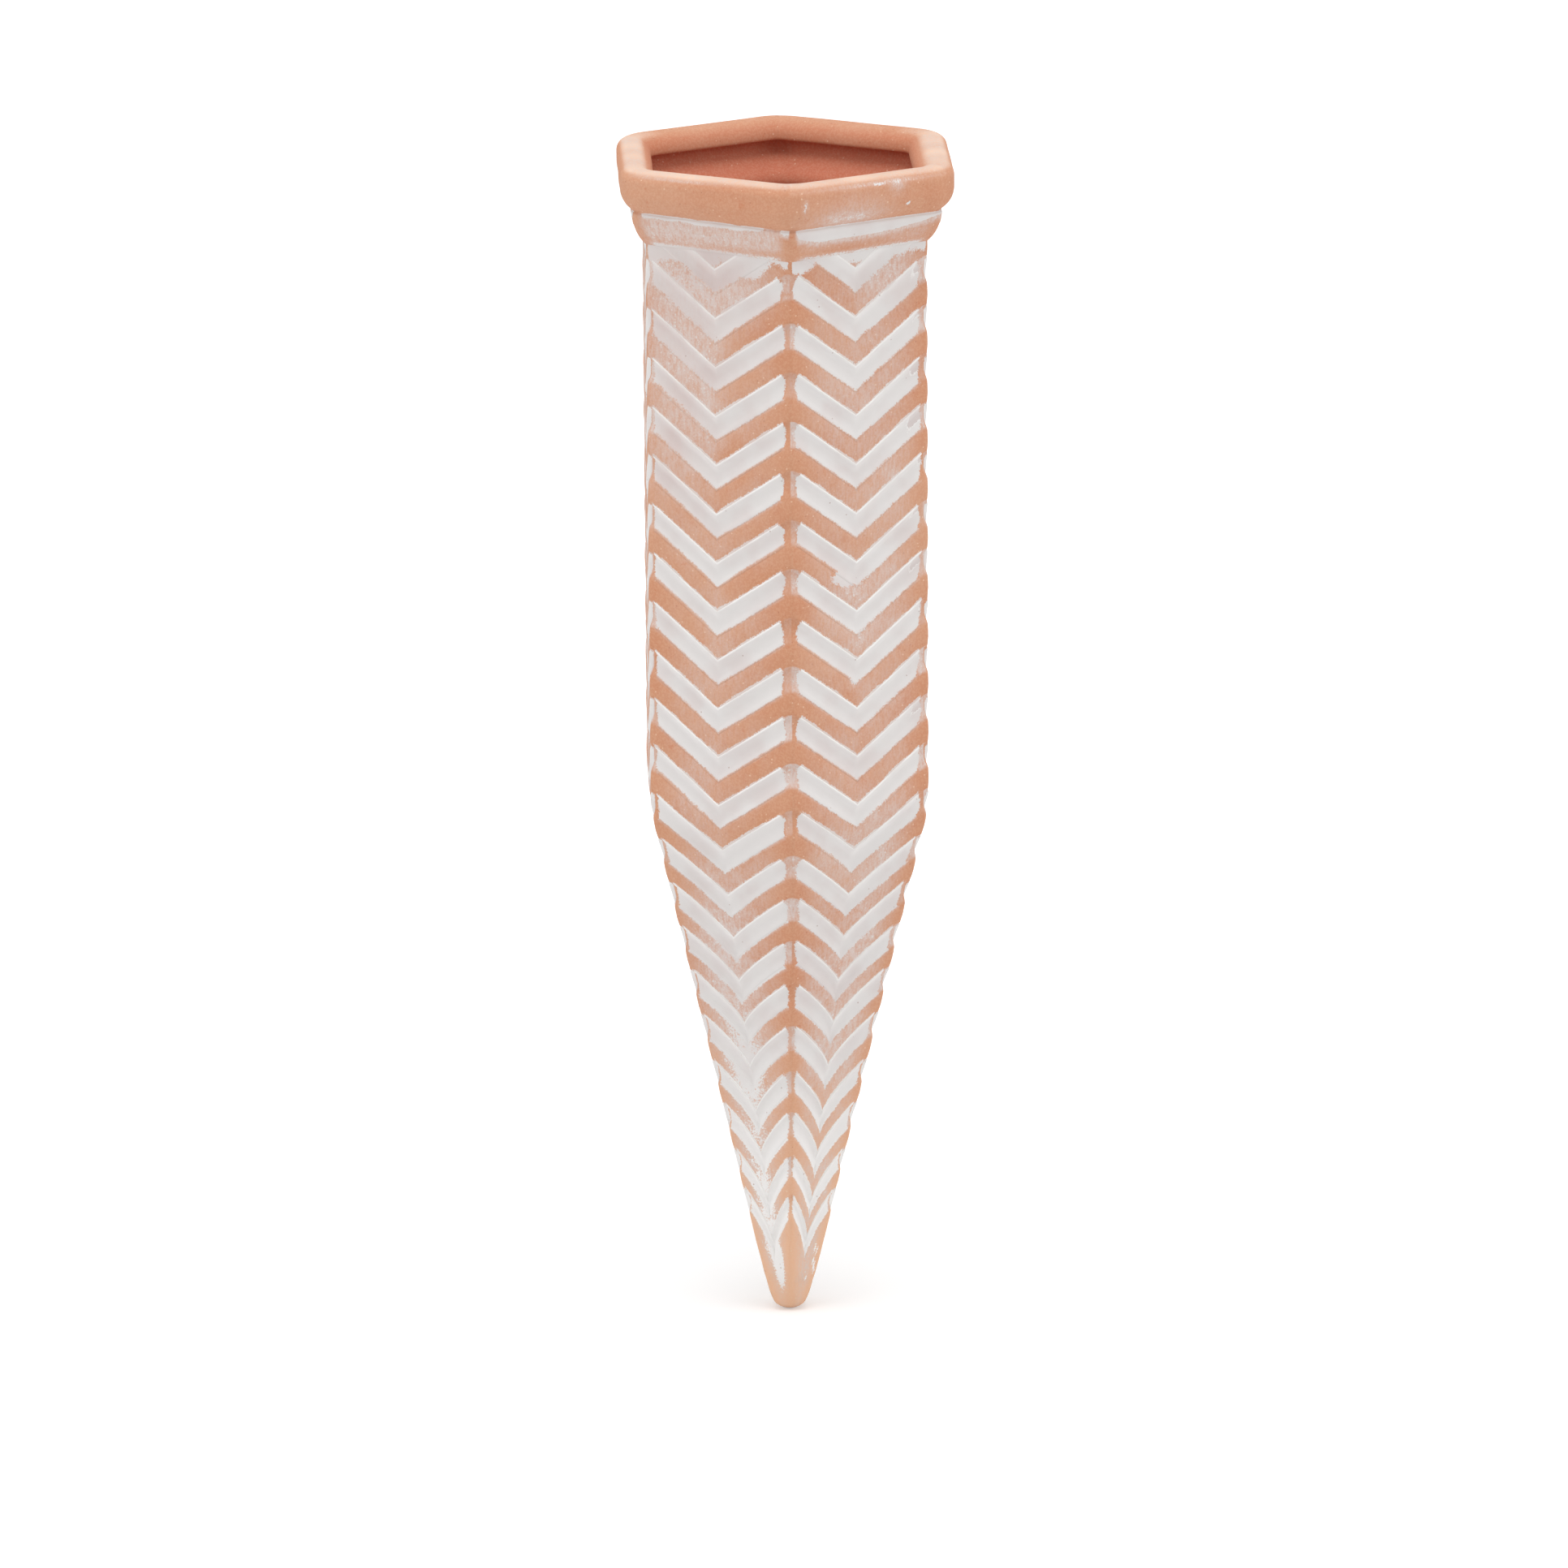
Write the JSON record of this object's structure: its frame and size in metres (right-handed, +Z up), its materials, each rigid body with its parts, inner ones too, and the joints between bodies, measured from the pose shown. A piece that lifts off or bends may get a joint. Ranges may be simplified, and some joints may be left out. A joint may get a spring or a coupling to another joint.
{
  "type": "self watering spike",
  "caption": "Hollow hexagonal terracotta watering spike with an open rimmed mouth, chevron relief and a long tapered tip for pushing into potting soil.",
  "frame": {"origin": "lowest point of the tip, on the long axis", "axes": "+Z up along the long axis, from the tip to the open mouth; two corners of the hexagon lie on the Y axis, so two flat sides face along +X and -X"},
  "size_m": [0.0496, 0.0552, 0.18],
  "materials": {
    "terracotta": "matte, unglazed, fine sandy",
    "whitewash": "matte, chalky, rubbed"
  },
  "bodies": {
    "root": {"clay_body": "terracotta", "wash_collar": "whitewash", "wash_side_1": "whitewash", "wash_side_2": "whitewash", "wash_side_3": "whitewash", "wash_side_4": "whitewash", "wash_side_5": "whitewash", "wash_side_6": "whitewash"}
  },
  "joints": []
}
